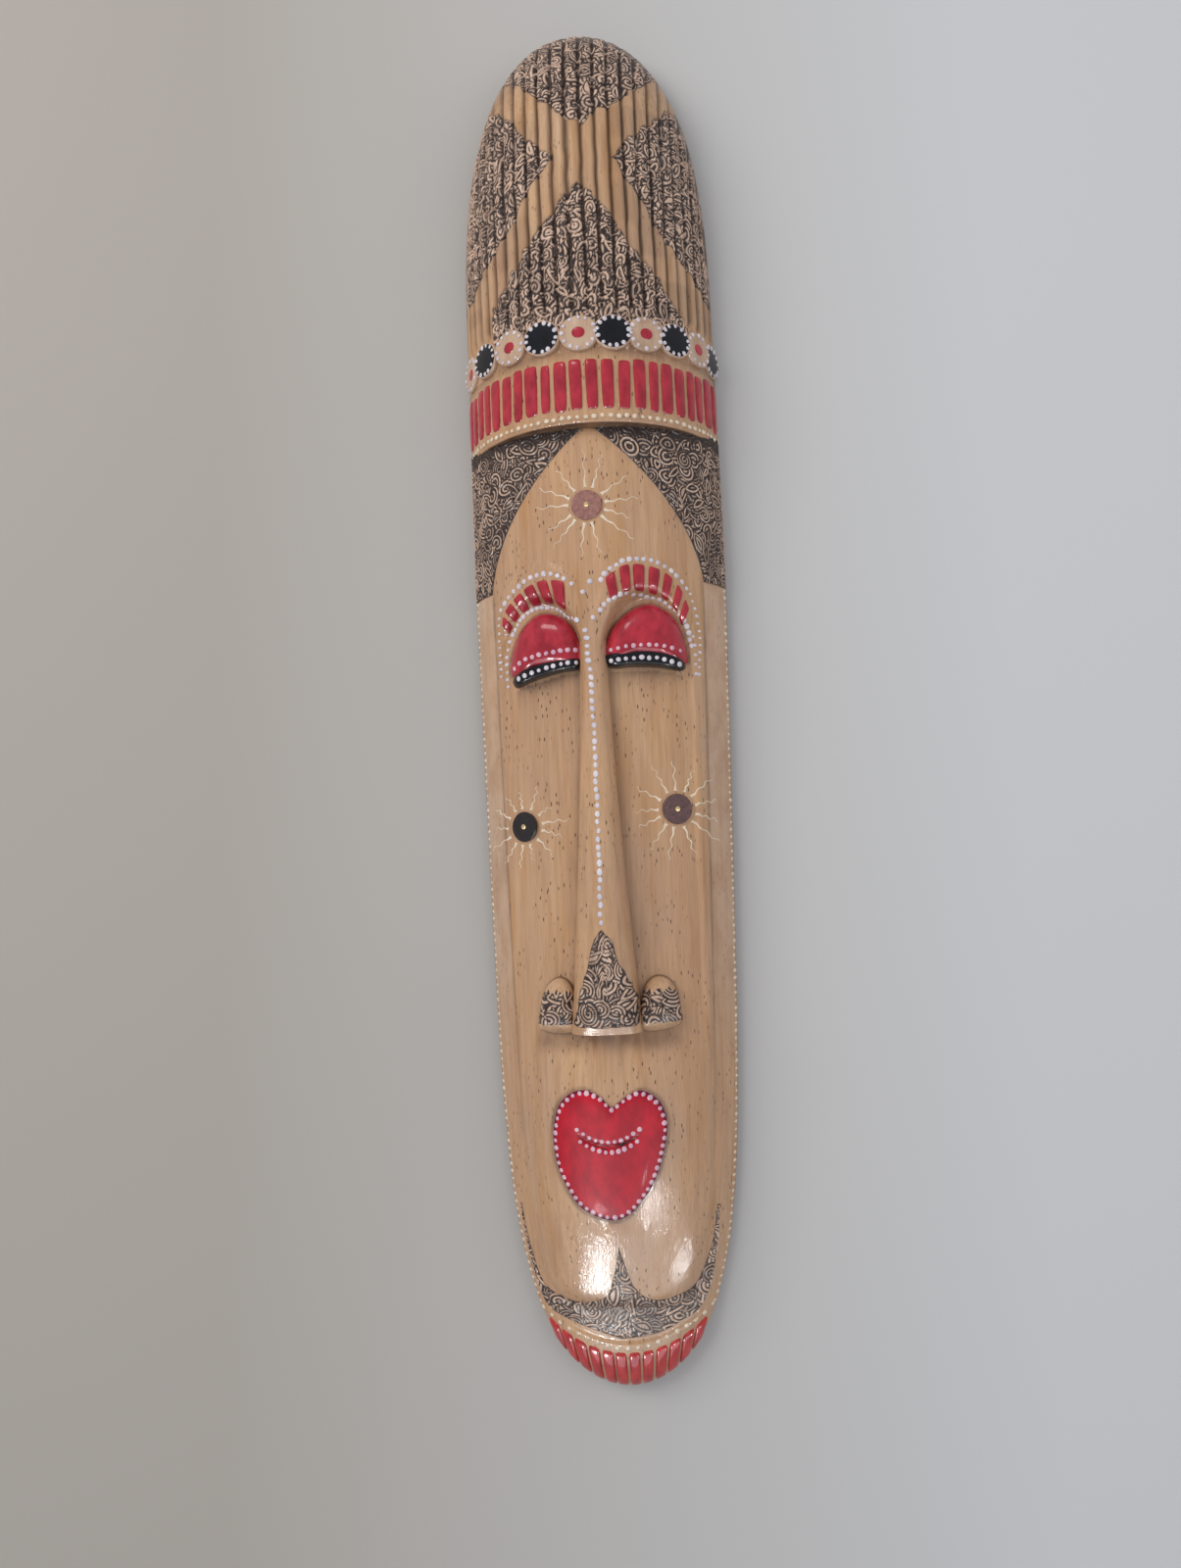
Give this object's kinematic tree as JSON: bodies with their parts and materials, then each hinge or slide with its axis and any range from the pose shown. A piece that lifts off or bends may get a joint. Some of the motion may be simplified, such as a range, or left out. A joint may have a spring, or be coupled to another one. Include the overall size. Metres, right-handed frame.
{
  "type": "carved wall mask",
  "caption": "Long narrow carved wooden wall mask with a tall fluted hat, arched brows, closed eyes, a long nose and heart-shaped lips, hollow behind.",
  "frame": {"origin": "centre of the footprint of the mask lying on its back rim, on the plane of the wall side", "axes": "+Y towards the top of the hat, +Z out of the wall through the face, +X to the right of someone who looks at the face"},
  "size_m": [0.192, 1, 0.0812],
  "materials": {
    "wood": "light straight-grained wood under satin varnish, with red, black and cream paint",
    "disc": "polished dark shell",
    "tack": "plain round head"
  },
  "bodies": {
    "root": {"mask": "wood", "disc_forehead": "disc", "disc_left_cheek": "disc", "disc_right_cheek": "disc", "tack_forehead": "tack", "tack_left_cheek": "tack", "tack_right_cheek": "tack"}
  },
  "joints": []
}
